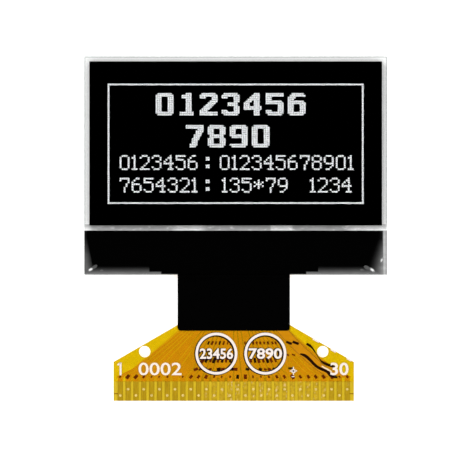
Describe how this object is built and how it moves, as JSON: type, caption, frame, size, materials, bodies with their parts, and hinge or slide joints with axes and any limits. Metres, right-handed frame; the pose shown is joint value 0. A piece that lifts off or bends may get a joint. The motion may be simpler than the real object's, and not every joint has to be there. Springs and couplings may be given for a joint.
{
  "type": "small graphic OLED display module",
  "caption": "Flat dot-matrix OLED display: bonded glass sandwich with a ledge for the driver chip and a flexible yellow tail that ends in a row of solder pads.",
  "frame": {"origin": "middle of the front glass outline in X and Y, on the back face of the cap glass", "axes": "+Z out of the viewing side towards the viewer, +Y from the tail up to the top of the display, +X to the viewer's right"},
  "size_m": [0.0266, 0.0303, 0.0014],
  "materials": {
    "polarizer": "near-black polarizing film with a faint satin sheen",
    "optical_glue": "clear pressure-sensitive adhesive",
    "front_glass": "clear thin display glass with cut edges",
    "clear_electrode": "transparent conductive oxide",
    "insulator": "cured photoresist",
    "organic_layer": "evaporated organic layers",
    "cathode_metal": "evaporated metal, mirror bright",
    "lead_metal": "thin bright metal on glass",
    "seal": "pale cured sealing resin",
    "back_glass": "clear thin glass with an etched hollow",
    "desiccant_glue": "adhesive film",
    "desiccant": "off-white drying sheet",
    "silicon": "ground dark silicon",
    "bump_gold": "plated gold",
    "bond_film": "dark cured bonding film",
    "black_resin": "black protective resin",
    "tail_film": "translucent yellow polyimide film",
    "trace_copper": "rolled copper",
    "plated_pads": "plated solder pads",
    "coverlay": "amber polyimide cover film",
    "black_shield": "matt black printed film",
    "print_ink": "white screen-printed ink",
    "dot_light": "dots that glow white through the polarizer"
  },
  "bodies": {
    "root": {"polarizer_film": "polarizer", "polarizer_adhesive": "optical_glue", "substrate_glass": "front_glass", "anode_columns": "clear_electrode", "pixel_insulator": "insulator", "cathode_separators": "insulator", "organic_rows": "organic_layer", "cathode_rows": "cathode_metal", "column_leads": "lead_metal", "row_leads": "lead_metal", "tail_leads": "lead_metal", "seal_bead": "seal", "cap_glass": "back_glass", "desiccant_adhesive": "desiccant_glue", "desiccant_sheet": "desiccant", "driver_chip": "silicon", "chip_bumps": "bump_gold", "chip_bond_film": "bond_film", "ledge_resin": "black_resin", "tail_bond_film": "bond_film", "tail_base_film": "tail_film", "front_traces": "trace_copper", "front_pads": "plated_pads", "back_pads": "plated_pads", "via_barrels": "plated_pads", "front_coverlay": "coverlay", "back_coverlay": "coverlay", "neck_shield_front": "black_shield", "neck_shield_back": "black_shield", "front_bead": "black_resin"}
  },
  "joints": []
}
